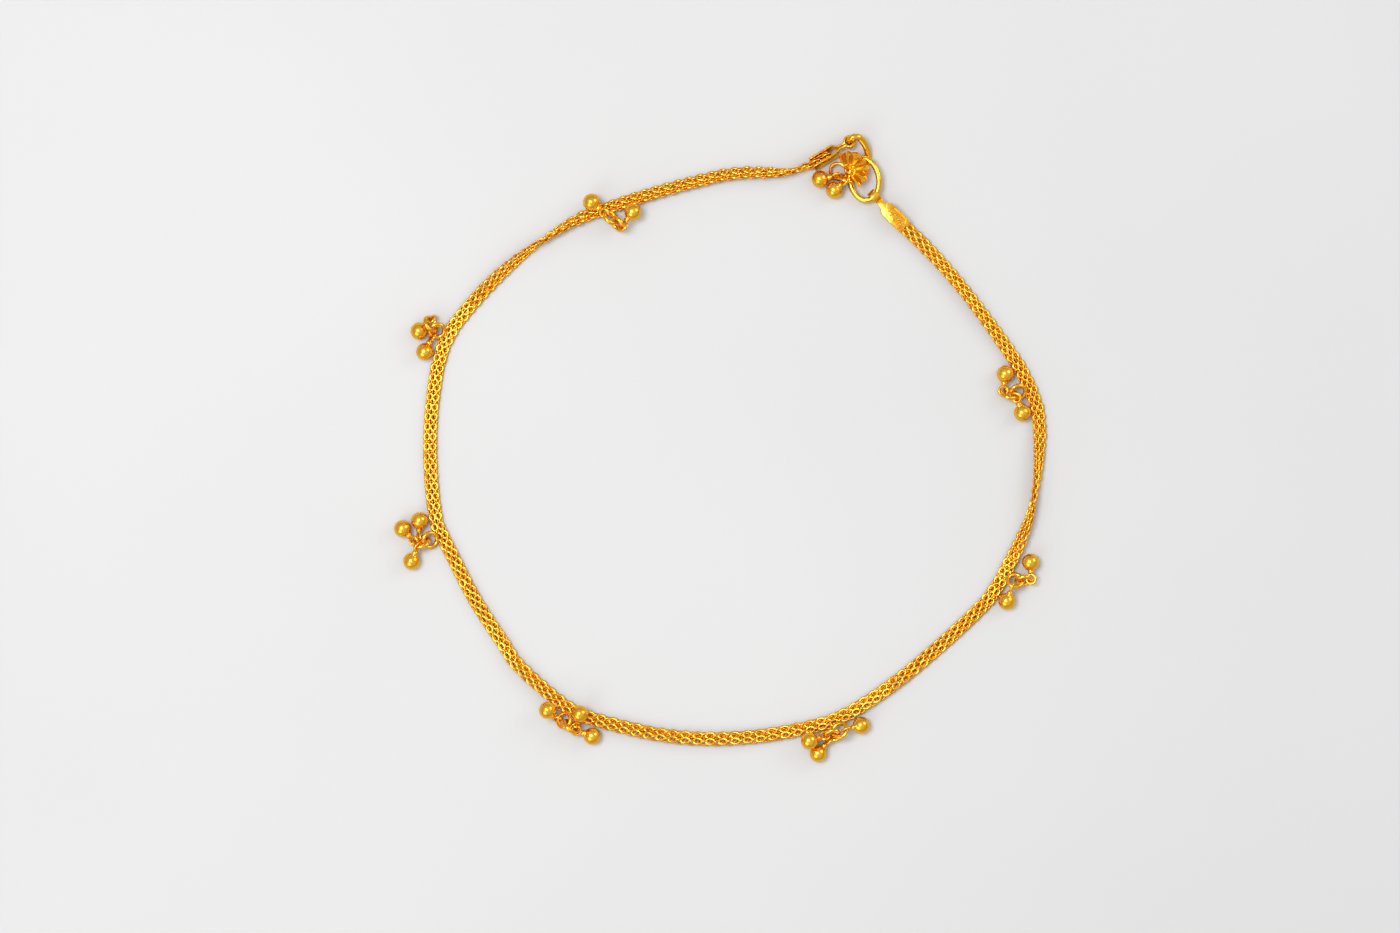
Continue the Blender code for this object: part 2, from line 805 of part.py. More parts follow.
def centre_outline(collection):
    # the middle of the whole outline becomes the origin
    bpy.context.view_layer.update()
    corners = [
        item.matrix_world @ vertex.co for item in collection.objects for vertex in item.data.vertices
    ]
    shift = Vector((0, 0, 0))
    for axis in range(2):
        values = [corner[axis] for corner in corners]
        shift[axis] = -(min(values) + max(values)) / 2
    for item in collection.objects:
        item.matrix_world = Matrix.Translation(shift) @ item.matrix_world


def main():
    clear_scene()
    anklet = new_collection("anklet")
    guides = new_collection("guides")
    gold = gold_material("polished_gold", 0.18)
    chain_gold = gold_material("chain_gold", 0.28)
    left_cap = left_cap_frame()
    link = link_frame()
    right_cap = right_cap_frame(link)
    places = chain_route(left_cap, right_cap)
    chain = chain_band(places, anklet, guides)
    pattern, count = build_charms(places, chain, anklet, gold)
    finish_solid(chain, chain_gold)
    build_cap("left_cap", left_cap, anklet, gold)
    build_cap("right_cap", right_cap, anklet, gold)
    build_link(link, anklet, gold)
    eye = left_cap @ Vector((cap_length(), 0, 0))
    build_hook(eye, link, anklet, gold)
    build_clasp_charm(link, pattern, count, anklet, gold)
    centre_outline(anklet)


main()
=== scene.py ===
import math
import random

import bmesh
import bpy
import numpy as np
from mathutils import Matrix, Vector


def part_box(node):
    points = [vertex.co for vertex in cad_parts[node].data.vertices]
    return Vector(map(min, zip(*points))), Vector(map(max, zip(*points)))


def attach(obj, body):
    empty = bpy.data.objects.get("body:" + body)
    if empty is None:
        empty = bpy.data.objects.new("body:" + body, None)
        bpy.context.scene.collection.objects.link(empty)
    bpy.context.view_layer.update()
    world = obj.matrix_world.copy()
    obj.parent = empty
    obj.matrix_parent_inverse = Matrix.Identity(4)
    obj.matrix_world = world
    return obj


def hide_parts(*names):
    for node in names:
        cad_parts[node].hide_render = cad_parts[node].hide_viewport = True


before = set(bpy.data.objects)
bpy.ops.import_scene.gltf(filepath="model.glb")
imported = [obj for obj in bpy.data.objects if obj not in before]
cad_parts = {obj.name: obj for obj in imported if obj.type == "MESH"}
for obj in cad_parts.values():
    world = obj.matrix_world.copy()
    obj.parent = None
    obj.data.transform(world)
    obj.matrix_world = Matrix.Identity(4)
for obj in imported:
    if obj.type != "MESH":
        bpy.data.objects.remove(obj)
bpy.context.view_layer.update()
up = Vector((0, 0, 1))
photoScale = 0.000135  # metres in one pixel of the photograph
lowestMetal = 0.00001  # the metal keeps this far above the surface
print("stage: frame loaded,", len(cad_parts), "nodes")

# The chain's line and the sizes of the clasp, the same as in the solids
band = {
    "width": 0.0019, "thickness": 0.00075, "steps": 80, "liftRun": 0.009, "lastShare": 0.9999,
    "route": (
        (0.0090, 0.0371), (0.0020, 0.0370), (-0.0043, 0.0356), (-0.0104, 0.0339),
        (-0.0149, 0.0324), (-0.0195, 0.0307), (-0.0251, 0.0271), (-0.0304, 0.0227),
        (-0.0352, 0.0174), (-0.0371, 0.0143), (-0.0382, 0.0108), (-0.0391, 0.0037),
        (-0.0391, -0.0035), (-0.0382, -0.0107), (-0.0365, -0.0139), (-0.0333, -0.0203),
        (-0.0294, -0.0263), (-0.0274, -0.0293), (-0.0220, -0.0341), (-0.0189, -0.0360),
        (-0.0154, -0.0371), (-0.0084, -0.0387), (-0.0015, -0.0393), (0.0054, -0.0389),
        (0.0121, -0.0377), (0.0154, -0.0367), (0.0184, -0.0352), (0.0240, -0.0314),
        (0.0292, -0.0271), (0.0342, -0.0225), (0.0366, -0.0199), (0.0383, -0.0169),
        (0.0413, -0.0105), (0.0428, -0.0035), (0.0430, 0.0037), (0.0421, 0.0071),
        (0.0406, 0.0104), (0.0366, 0.0162), (0.0326, 0.0215), (0.0283, 0.0264),
    ),
    # share of the length, degrees from lying flat
    "tilt": (
        (0.000, 105), (0.014, 105), (0.040, 30), (0.115, 24), (0.140, 24), (0.172, 88),
        (0.200, 140), (0.225, 172), (0.260, 180), (0.420, 180), (0.460, 155), (0.600, 160),
        (0.660, 155), (0.700, 175), (0.750, 170), (0.780, 150), (0.8075, 90), (0.835, 40),
        (0.850, 10), (0.900, 10), (0.930, 25), (0.965, 15), (0.986, 0), (1.000, 0),
    ),
}
cap = {
    "wall": 0.00025, "width": 0.002, "body": 0.0035, "shoulder": 0.0007, "neck": 0.0008,
    "bore": 0.0012, "clearance": 0.00012, "hold": 0.0026, "leftMouth": (0.01235, 0.0381),
    "leftHeading": 31, "leftRoll": 75, "rightHeading": 135,
}
connector = {
    # wire is the solid's, and stoutWire is the one that shows
    "wire": 0.00068, "stoutWire": 0.00078, "length": 0.00636, "width": 0.0046,
    "place": (0.01937, 0.03611), "height": 0.00119, "heading": 100, "roll": 11,
    "eyeTurn": 209, "steps": 120, "sides": 20,
}


# Points, frames and lines
def heading(degrees):
    angle = math.radians(degrees)
    return Vector((math.cos(angle), math.sin(angle), 0))


def axesFrame(origin, e1, e2):
    matrix = Matrix.Identity(4)
    for column, axis in enumerate((e1, e2, e1.cross(e2), origin)):
        for row in range(3):
            matrix[row][column] = axis[row]
    return matrix


def ringFrame(centre, out, rise, roll):
    # x points out and rises, y runs across and rolls about x
    side = up.cross(out)
    e1 = math.cos(math.radians(rise)) * out + math.sin(math.radians(rise)) * up
    normal = e1.cross(side)
    e2 = math.cos(math.radians(roll)) * side + math.sin(math.radians(roll)) * normal
    return axesFrame(centre, e1, e2)


def smoothLine(points, parts=16):
    ends = [2 * points[0] - points[1], *points, 2 * points[-1] - points[-2]]
    line = []
    for p0, p1, p2, p3 in zip(ends, ends[1:], ends[2:], ends[3:]):
        for step in range(parts):
            t = step / parts
            line.append(
                0.5 * (2 * p1 + (p2 - p0) * t + (2 * p0 - 5 * p1 + 4 * p2 - p3) * t**2
                       + (3 * p1 - p0 - 3 * p2 + p3) * t**3)
            )
    line.append(points[-1].copy())
    return line


def evenPoints(line, count):
    total = sum((b - a).length for a, b in zip(line, line[1:]))
    wanted = [total * i / (count - 1) for i in range(count)]
    points = [line[0].copy()]
    gone = 0.0
    for a, b in zip(line, line[1:]):
        run = (b - a).length
        while len(points) < count - 1 and wanted[len(points)] <= gone + run:
            points.append(a.lerp(b, (wanted[len(points)] - gone) / run))
        gone += run
    points.append(line[-1].copy())
    return points


def tableValue(table, share):
    for (s0, v0), (s1, v1) in zip(table, table[1:]):
        if share <= s1:
            return v0 + (v1 - v0) * (share - s0) / (s1 - s0)
    return table[-1][1]


def nodePoints(name):
    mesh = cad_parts[name].data
    points = np.empty(len(mesh.vertices) * 3)
    mesh.vertices.foreach_get("co", points)
    return points.reshape(-1, 3)


def flattestWay(points):
    # the direction in which the points spread least
    spread = np.cov((points - points.mean(axis=0)).T)
    return Vector(np.linalg.eigh(spread)[1][:, 0])


def ringOfNode(name):
    # a ring node's middle, with z square to the ring
    points = nodePoints(name)
    low, high = points.min(axis=0), points.max(axis=0)
    normal = flattestWay(points)
    if normal.z < 0:
        normal = -normal
    e1 = normal.orthogonal().normalized()
    return axesFrame(Vector((low + high) / 2), e1, normal.cross(e1))


# Meshes
def meshPiece(name, verts, faces, material):
    # points under the surface are brought up to it
    verts = np.array(verts)
    verts[:, 2] = np.maximum(verts[:, 2], lowestMetal)
    mesh = bpy.data.meshes.new(name)
    mesh.from_pydata([tuple(v) for v in verts], [], faces)
    mesh.validate()
    tidy = bmesh.new()
    tidy.from_mesh(mesh)
    bmesh.ops.recalc_face_normals(tidy, faces=tidy.faces)
    tidy.to_mesh(mesh)
    tidy.free()
    mesh.shade_smooth()
    mesh.materials.append(material)
    piece = bpy.data.objects.new(name, mesh)
    bpy.context.scene.collection.objects.link(piece)
    return piece


def tube(line, thickness, sides, closed, flat=1.0, taper=0, tip=0.03):
    # a round wire along the line, as points and faces; the last taper steps at each end
    # narrow down to the share tip of its section
    line = np.array([tuple(p) for p in line])
    count = len(line)
    if closed:
        ways = np.roll(line, -1, axis=0) - np.roll(line, 1, axis=0)
    else:
        ways = np.gradient(line, axis=0)
    ways /= np.linalg.norm(ways, axis=1)[:, None]
    normal = flattestWay(line)
    sideWay = np.array(normal) - ways[0] * np.dot(normal, ways[0])
    verts = []
    for index in range(count):
        sideWay = sideWay - ways[index] * np.dot(sideWay, ways[index])
        sideWay /= np.linalg.norm(sideWay)
        other = np.cross(ways[index], sideWay)
        size = thickness / 2
        if taper and not closed:
            near = min(index, count - 1 - index) / taper
            if near < 1:
                size *= math.sqrt(max(tip, 1 - (1 - near) ** 2))
        for side in range(sides):
            turn = 2 * math.pi * side / sides
            verts.append(
                line[index] + size * (flat * math.cos(turn) * sideWay + math.sin(turn) * other)
            )
    faces = []
    for index in range(count if closed else count - 1):
        here, there = index * sides, (index + 1) % count * sides
        for side in range(sides):
            after = (side + 1) % sides
            faces.append((here + side, here + after, there + after, there + side))
    if not closed:
        faces.append(tuple(range(sides)))
        faces.append(tuple(range((count - 1) * sides, count * sides)))
    return np.array(verts), faces


def ovalLine(length, width, steps):
    # the middle line of an oval link in the xy plane, length and width from middle to middle
    turns = [2 * math.pi * i / steps for i in range(steps)]
    return [(length / 2 * math.cos(t), width / 2 * math.sin(t), 0) for t in turns]


def placed(verts, matrix):
    turn = np.array(matrix.to_3x3())
    return verts @ turn.T + np.array(matrix.translation)


def joined(parts):
    verts, faces, start = [], [], 0
    for partVerts, partFaces in parts:
        verts.append(partVerts)
        faces += [tuple(start + corner for corner in face) for face in partFaces]
        start += len(partVerts)
    return np.vstack(verts), faces


def turned(profile, steps):
    # a profile of (x, radius) turned about the x axis, closed at both ends
    verts = [(profile[0][0], 0, 0)]
    for x, radius in profile[1:-1]:
        for step in range(steps):
            turn = 2 * math.pi * step / steps
            verts.append((x, radius * math.cos(turn), radius * math.sin(turn)))
    verts.append((profile[-1][0], 0, 0))
    last = len(verts) - 1
    rows = len(profile) - 2
    faces = []
    for step in range(steps):
        after = (step + 1) % steps
        faces.append((0, 1 + after, 1 + step))
        faces.append((last, last - steps + step, last - steps + after))
        for row in range(rows - 1):
            here = 1 + row * steps
            faces.append((here + step, here + after, here + steps + after, here + steps + step))
    return np.array(verts), faces


# Gold finishes
goldFinish = {
    "tone": (0.91, 0.47, 0.045, 1),       # 22 carat yellow, polished
    "deepTone": (0.81, 0.35, 0.018, 1),   # where skin oil and polish paste stay
    "rubbedTone": (0.95, 0.56, 0.09, 1),  # where it rubs against the skin
    "paintedShadeTone": (0.66, 0.25, 0.010, 1),  # painted shade: a darker tone for the lower links seen between the upper ones
    "edgeTint": (1.0, 0.85, 0.45, 1),
    "cloudScale": 420, "cloudDetail": 5, "deepRange": (0.58, 0.34), "rubRange": (0.55, 0.75),
    "scratchScale": 1500, "scratchDetail": 3, "scratchBend": 0.6, "scratchRange": (0.56, 0.70),
    "scratchTurn": (0.4, 0.7, 0.9), "scratchStretch": (1, 0.12, 0.5),
    "grainScale": 9000, "grainDetail": 2,
}


def newGroup(name, inputs, outputs):
    group = bpy.data.node_groups.new(name, "ShaderNodeTree")
    for label, kind, value in inputs:
        socket = group.interface.new_socket(label, in_out="INPUT", socket_type=kind)
        socket.default_value = value
    for label, kind in outputs:
        group.interface.new_socket(label, in_out="OUTPUT", socket_type=kind)
    return group, group.nodes.new("NodeGroupInput"), group.nodes.new("NodeGroupOutput")


def noiseNode(make, scaleName):
    noise = make("ShaderNodeTexNoise")
    noise.inputs["Detail"].default_value = goldFinish[scaleName + "Detail"]
    return noise


def rangeMask(group, source, limits):
    # 0 at the first limit of the noise, 1 at the second
    mask = group.nodes.new("ShaderNodeMapRange")
    mask.inputs["From Min"].default_value, mask.inputs["From Max"].default_value = limits
    group.links.new(source, mask.inputs["Value"])
    return mask.outputs["Result"]


def mathNode(group, operation, first, second):
    node = group.nodes.new("ShaderNodeMath")
    node.operation = operation
    group.links.new(first, node.inputs[0])
    group.links.new(second, node.inputs[1])
    return node.outputs[0]


def colourMix(group, amount, first, second):
    node = group.nodes.new("ShaderNodeMix")
    node.data_type = "RGBA"
    group.links.new(amount, node.inputs["Factor"])
    group.links.new(first, node.inputs["A"])
    group.links.new(second, node.inputs["B"])
    return node.outputs["Result"]


def goldToneGroup():
    # cloudy change from deep to rubbed gold over the metal
    group, given, result = newGroup(
        "goldTone",
        (("Tone", "NodeSocketColor", goldFinish["tone"]),
         ("Deep Tone", "NodeSocketColor", goldFinish["deepTone"]),
         ("Rubbed Tone", "NodeSocketColor", goldFinish["rubbedTone"]),
         ("Scale", "NodeSocketFloat", goldFinish["cloudScale"]),
         ("Depth", "NodeSocketFloat", 0.5), ("Rub", "NodeSocketFloat", 0.4)),
        (("Color", "NodeSocketColor"),),
    )
    where = group.nodes.new("ShaderNodeTexCoord")
    clouds = noiseNode(group.nodes.new, "cloud")
    group.links.new(where.outputs["Object"], clouds.inputs["Vector"])
    group.links.new(given.outputs["Scale"], clouds.inputs["Scale"])
    cloud = clouds.outputs["Fac"]
    deepMask = rangeMask(group, cloud, goldFinish["deepRange"])
    deepAmount = mathNode(group, "MULTIPLY", deepMask, given.outputs["Depth"])
    deepened = colourMix(group, deepAmount, given.outputs["Tone"], given.outputs["Deep Tone"])
    rubMask = rangeMask(group, cloud, goldFinish["rubRange"])
    rubAmount = mathNode(group, "MULTIPLY", rubMask, given.outputs["Rub"])
    rubbed = colourMix(group, rubAmount, deepened, given.outputs["Rubbed Tone"])
    group.links.new(rubbed, result.inputs["Color"])
    return group


def fineWearGroup():
    # hair scratches and a fine orange-peel grain, as a roughness and a height
    group, given, result = newGroup(
        "fineWear",
        (("Smooth", "NodeSocketFloat", 0.12), ("Worn", "NodeSocketFloat", 0.3),
         ("Scratch Scale", "NodeSocketFloat", goldFinish["scratchScale"]),
         ("Grain Scale", "NodeSocketFloat", goldFinish["grainScale"]),
         ("Scratch", "NodeSocketFloat", 0.5), ("Grain", "NodeSocketFloat", 0.3)),
        (("Roughness", "NodeSocketFloat"), ("Height", "NodeSocketFloat")),
    )
    make, join = group.nodes.new, group.links.new
    where = make("ShaderNodeTexCoord")
    lean = make("ShaderNodeMapping")
    lean.inputs["Rotation"].default_value = goldFinish["scratchTurn"]
    lean.inputs["Scale"].default_value = goldFinish["scratchStretch"]
    join(where.outputs["Object"], lean.inputs["Vector"])
    scratches = noiseNode(make, "scratch")
    scratches.inputs["Distortion"].default_value = goldFinish["scratchBend"]
    join(lean.outputs["Vector"], scratches.inputs["Vector"])
    join(given.outputs["Scratch Scale"], scratches.inputs["Scale"])
    line = rangeMask(group, scratches.outputs["Fac"], goldFinish["scratchRange"])
    grain = noiseNode(make, "grain")
    join(where.outputs["Object"], grain.inputs["Vector"])
    join(given.outputs["Grain Scale"], grain.inputs["Scale"])
    rough = make("ShaderNodeMix")
    join(line, rough.inputs["Factor"])
    join(given.outputs["Smooth"], rough.inputs["A"])
    join(given.outputs["Worn"], rough.inputs["B"])
    join(rough.outputs["Result"], result.inputs["Roughness"])
    cut = mathNode(group, "MULTIPLY", line, given.outputs["Scratch"])
    peel = mathNode(group, "MULTIPLY", grain.outputs["Fac"], given.outputs["Grain"])
    join(mathNode(group, "SUBTRACT", peel, cut), result.inputs["Height"])
    return group


goldTone = goldToneGroup()
fineWear = fineWearGroup()


def goldMaterial(name, tone, wear, bump):
    material = bpy.data.materials.new(name)
    material.use_nodes = True
    nodes, join = material.node_tree.nodes, material.node_tree.links.new
    shader = nodes["Principled BSDF"]
    shader.inputs["Metallic"].default_value = 1
    shader.inputs["Specular Tint"].default_value = goldFinish["edgeTint"]
    colours = nodes.new("ShaderNodeGroup")
    colours.node_tree = goldTone
    for label, value in tone.items():
        colours.inputs[label].default_value = value
    surface = nodes.new("ShaderNodeGroup")
    surface.node_tree = fineWear
    for label, value in wear.items():
        surface.inputs[label].default_value = value
    relief = nodes.new("ShaderNodeBump")
    relief.inputs["Strength"].default_value = bump["strength"]
    relief.inputs["Distance"].default_value = bump["distance"]
    join(colours.outputs["Color"], shader.inputs["Base Color"])
    join(surface.outputs["Roughness"], shader.inputs["Roughness"])
    join(surface.outputs["Height"], relief.inputs["Height"])
    join(relief.outputs["Normal"], shader.inputs["Normal"])
    return material


def drawnWireGold():
    return goldMaterial(
        "drawnWireGold", {"Depth": 0.45, "Rub": 0.5},
        {"Smooth": 0.13, "Worn": 0.26, "Scratch": 0.5, "Grain": 0.25},
        {"strength": 0.2, "distance": 0.00002},
    )


def ballGold():
    return goldMaterial(
        "ballGold", {"Depth": 0.35, "Rub": 0.35, "Scale": 700},
        {"Smooth": 0.21, "Worn": 0.32, "Scratch": 0.35, "Grain": 0.3, "Grain Scale": 5200},
        {"strength": 0.18, "distance": 0.00002},
    )


def chainLinkGold():
    return goldMaterial(
        "chainLinkGold", {"Depth": 0.7, "Rub": 0.6, "Scale": 900},
        {"Smooth": 0.2, "Worn": 0.34, "Scratch": 0.6, "Grain": 0.4},
        {"strength": 0.25, "distance": 0.000015},
    )


def paintedShadeLinkGold():
    # the lower links, darkened with painted shade where they show between the upper links
    return goldMaterial(
        "paintedShadeLinkGold",
        # painted shade: a darker tone than the upper links' gold
        {"Tone": goldFinish["paintedShadeTone"], "Depth": 0.8, "Rub": 0.1, "Scale": 900},
        {"Smooth": 0.34, "Worn": 0.46, "Scratch": 0.5, "Grain": 0.6},
        {"strength": 0.3, "distance": 0.00002},
    )


def sheetGold():
    return goldMaterial(
        "sheetGold", {"Depth": 0.55, "Rub": 0.6, "Scale": 650},
        {"Smooth": 0.16, "Worn": 0.36, "Scratch": 0.8, "Grain": 0.6, "Grain Scale": 6500},
        {"strength": 0.3, "distance": 0.00003},
    )


wireGold, roundGold, plateGold = drawnWireGold(), ballGold(), sheetGold()
linkGold, shadedGold = chainLinkGold(), paintedShadeLinkGold()
print("stage: gold finishes ready")

# Where the clasp's pieces stand
capLength = cap["body"] + cap["shoulder"] + cap["neck"] + cap["bore"] / 2 + cap["wall"]
capHalf = band["thickness"] / 2 + cap["clearance"] + cap["wall"]
linkCentre = Vector((*connector["place"], connector["height"]))
boxLow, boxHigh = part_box("connector_ring")
shift = (Vector(boxLow) + Vector(boxHigh)) / 2 - linkCentre
shift.z = 0
linkPlace = ringFrame(linkCentre, heading(connector["heading"]), 0, -connector["roll"])


def capFrame(origin, way, pitch, roll):
    axis = math.cos(pitch) * way + math.sin(pitch) * up
    across = up.cross(way)
    upper = axis.cross(across)
    width = math.cos(math.radians(roll)) * across + math.sin(math.radians(roll)) * upper
    return axesFrame(origin, axis, width.cross(axis))


def leftCapFrame():
    roll = math.radians(cap["leftRoll"])
    height = cap["width"] / 2 * math.sin(roll) + capHalf * math.cos(roll)
    origin = Vector((*cap["leftMouth"], height))
    return capFrame(origin, heading(cap["leftHeading"]), 0, cap["leftRoll"])


def rightCapFrame():
    turn = math.radians(connector["eyeTurn"])
    length = (connector["length"] - connector["wire"]) / 2
    width = (connector["width"] - connector["wire"]) / 2
    eye = linkPlace @ Vector((length * math.cos(turn), width * math.sin(turn), 0))
    pitch = math.asin((eye.z - capHalf) / capLength)
    way = heading(cap["rightHeading"])
    origin = eye - capLength * (math.cos(pitch) * way + math.sin(pitch) * up)
    return capFrame(origin, way, pitch, 0)


leftCap, rightCap = leftCapFrame(), rightCapFrame()


# The chain: an upper and a lower layer, each with two rows of small flat links side by
# side, and upright links that join each row's flat links where they meet
def bandPlaces():
    start = leftCap @ Vector((cap["hold"], 0, 0))
    stop = rightCap @ Vector((cap["hold"], 0, 0))
    flat = [start.xy, leftCap.translation.xy]
    flat += [Vector(row) for row in band["route"]]
    flat += [rightCap.translation.xy, stop.xy]
    plan = evenPoints(smoothLine([point.to_3d() for point in flat]), band["steps"])
    length = sum((b - a).length for a, b in zip(plan, plan[1:]))
    places = []
    for index, point in enumerate(plan):
        share = index / (band["steps"] - 1)
        tilt = tableValue(band["tilt"], share)
        angle = math.radians(tilt)
        height = band["width"] / 2 * abs(math.sin(angle))
        height += band["thickness"] / 2 * abs(math.cos(angle))
        for holder, gone in ((leftCap, share), (rightCap, 1 - share)):
            beyond = gone * length - cap["hold"]
            if beyond < 0:
                height = (holder @ Vector((-beyond, 0, 0))).z
            elif beyond < band["liftRun"]:
                fade = 0.5 + 0.5 * math.cos(math.pi * beyond / band["liftRun"])
                height = max(height, height + fade * (holder.translation.z - height))
        places.append((Vector((point.x, point.y, height)), tilt))
    return places, length


places, chainLength = bandPlaces()


def bandWay(index):
    return (places[index + 1][0] - places[index - 1][0]).normalized()


def bandAt(distance):
    # the band's frame: x along, y across, z off its face
    step = min(max(distance / chainLength, 0), band["lastShare"]) * (len(places) - 1)
    index = int(step)
    part = step - index
    low, high = max(1, index), min(len(places) - 2, index + 1)
    middle = places[index][0].lerp(places[index + 1][0], part)
    along = bandWay(low).lerp(bandWay(high), part).normalized()
    tilt = places[index][1] + (places[index + 1][1] - places[index][1]) * part
    left = up.cross(along).normalized()
    angle = math.radians(tilt)
    across = math.cos(angle) * left + math.sin(angle) * along.cross(left)
    return axesFrame(middle, along, across)


chainLook = {
    "upperWire": 0.00038, "upperShare": 0.72, "upperWidth": 0.00076, "upperGap": 0.00041,
    "upperRise": 0.00011, "upperJoinWire": 0.00022, "upperJoinHeight": 0.00048,
    "lowerWire": 0.00029, "lowerShare": 0.78, "lowerWidth": 0.00068, "lowerGap": 0.00048,
    "lowerDrop": 0.00018, "lowerJoinWire": 0.0002, "lowerJoinHeight": 0.00043,
    "flatten": 0.8, "flatRoll": 8, "uprightRoll": 16, "play": 1.06,
    "steps": 14, "sides": 6, "uprightSteps": 12, "uprightSides": 6,
    "startInset": 0.0004, "endInset": 0.0012, "sway": 3, "seed": 7,
    # the photograph's pixels along the chain from the left cap, and the repeat there
    "repeat": (
        (0, 11.9), (160, 11.4), (220, 10.9), (340, 10.3), (400, 9.8), (520, 9.9), (640, 10.3),
        (760, 10.9), (880, 12.3), (1060, 12.6), (1120, 12.0), (1240, 11.5), (1300, 10.9),
        (1360, 9.9), (1420, 9.2), (1540, 9.4), (1600, 10.4), (1735, 10.3),
    ),
}


def chainLinks():
    look = chainLook
    draw = random.Random(look["seed"])
    upper, lower = [], []
    distance = look["startInset"]

    def sway():
        return math.radians(draw.uniform(-look["sway"], look["sway"]))

    while distance < chainLength - look["endInset"]:
        pixels = (distance - cap["hold"]) / photoScale
        repeat = tableValue(look["repeat"], max(pixels, 0)) * photoScale
        place, between = bandAt(distance), bandAt(distance + repeat / 2)
        face = 1 if place.col[2].z >= 0 else -1  # keeps the upper layer on top
        for spot, meeting, layer, rise, parts in (
            (place, between, "upper", look["upperRise"], upper),
            (between, place, "lower", -look["lowerDrop"], lower),
        ):
            wire, joinWire = look[layer + "Wire"], look[layer + "JoinWire"]
            link = tube(
                ovalLine(look[layer + "Share"] * repeat, look[layer + "Width"], look["steps"]),
                wire, look["sides"], True, flat=look["flatten"],
            )
            # the upright link holds two flat links of its row where they meet
            reach = repeat * (1 - look[layer + "Share"]) + wire * look["play"] + joinWire
            upright = tube(
                ovalLine(reach, look[layer + "JoinHeight"], look["uprightSteps"]),
                joinWire, look["uprightSides"], True,
            )
            for row in (-1, 1):
                lean = Matrix.Rotation(math.radians(look["flatRoll"]) + sway(), 4, "X")
                turn = Matrix.Rotation(sway(), 4, "Y") @ Matrix.Rotation(2 * sway(), 4, "Z")
                stand = Matrix.Rotation(
                    math.radians(90 + row * look["uprightRoll"]) + sway(), 4, "X"
                )
                move = Matrix.Translation((0, row * look[layer + "Gap"], face * rise))
                parts.append((placed(link[0], spot @ move @ lean @ turn), link[1]))
                parts.append((placed(upright[0], meeting @ move @ stand), upright[1]))
        distance += repeat
    pieces = []
    # the lower layer takes the darker gold, painted shade between the upper links
    for name, parts, gold in (
        ("chainLinks", upper, linkGold), ("chainUnderLinks", lower, shadedGold)
    ):
        verts, faces = joined(parts)
        print("stage:", name, len(parts), "links,", len(faces) * 2, "triangles")
        pieces.append(meshPiece(name, verts + np.array(shift), faces, gold))
    return pieces


# The charms' rings and ball drops
charmLook = {
    "ringMean": 0.00099, "ringWire": 0.00056, "ringSteps": 56, "ringSides": 16,
    "sink": 0.0002, "solderHeight": 0.00033,
    # share of the chain's length, side, rise and roll of each soldered ring
    "soldered": (
        (0.1296, -1, 35, -45), (0.247, 1, 25, -20), (0.3613, 1, 20, -20), (0.485, 1, 0, 35),
        (0.6377, 1, 30, 15), (0.7643, 1, 15, -30), (0.8744, -1, 0, -30),
    ),
    "dropReach": 0.0023, "ballRadius": 0.00115, "eyeMean": 0.00062, "eyeWire": 0.00036,
    "drops": 19, "ballSteps": 40, "ballRows": 22, "eyeSteps": 36, "eyeSides": 12,
    # how much of a drop's solid is read as its ball and as its eye, in their radii
    "ballReach": 1.5, "eyeReach": 1.6,
    # x and radius of the collar between the eye and the ball
    "collar": ((0.00060, 0.00016), (0.00066, 0.00028), (0.00078, 0.00036), (0.00088, 0.00042),
               (0.00096, 0.00045), (0.00104, 0.00044), (0.00112, 0.00043), (0.00121, 0.00046)),
    "clasp": (("clasp_ring", 0.00115), ("clasp_link", 0.0013)), "claspWire": 0.00042,
}


def ringMesh(mean, wire):
    look = charmLook
    return tube(ovalLine(2 * mean, 2 * mean, look["ringSteps"]), wire, look["ringSides"], True)


def solderedRings():
    look = charmLook
    pieces = []
    for number, (share, side, rise, roll) in enumerate(look["soldered"], start=1):
        step = share * (len(places) - 1)
        index = int(step)
        part = step - index
        ways = []
        for near in (index, index + 1):
            run = (places[near + 1][0] - places[near - 1][0]).xy.to_3d()
            ways.append(run.normalized())
        along = ways[0].lerp(ways[1], part).normalized()
        middle = places[index][0].lerp(places[index + 1][0], part)
        tilt = math.radians(places[index][1] + (places[index + 1][1] - places[index][1]) * part)
        out = Vector((along.y, -along.x, 0)) * side
        left = Vector((-along.y, along.x, 0))
        across = math.cos(tilt) * left + math.sin(tilt) * up
        edge = middle + across * (band["width"] / 2) * (1 if across.dot(out) > 0 else -1)
        near = edge - out * look["sink"] + up * look["solderHeight"]
        angle = math.radians(rise)
        centre = near + look["ringMean"] * (math.cos(angle) * out + math.sin(angle) * up)
        verts, faces = ringMesh(look["ringMean"], look["ringWire"])
        spot = Matrix.Translation(shift) @ ringFrame(centre, out, rise, roll)
        pieces.append(meshPiece(
            f"solderedRing{number}", placed(verts, spot), faces, wireGold
        ))
    return pieces


def dropMesh():
    look = charmLook
    radius, reach = look["ballRadius"], look["dropReach"]
    profile = [(look["collar"][0][0], 0), *look["collar"]]
    first = math.acos((reach - look["collar"][-1][0]) / radius)
    for row in range(1, look["ballRows"]):
        turn = first + (math.pi - first) * row / look["ballRows"]
        profile.append((reach - radius * math.cos(turn), radius * math.sin(turn)))
    profile.append((reach + radius, 0))
    circle = ovalLine(2 * look["eyeMean"], 2 * look["eyeMean"], look["eyeSteps"])
    eye = tube(circle, look["eyeWire"], look["eyeSides"], True)
    return joined([turned(profile, look["ballSteps"]), eye])


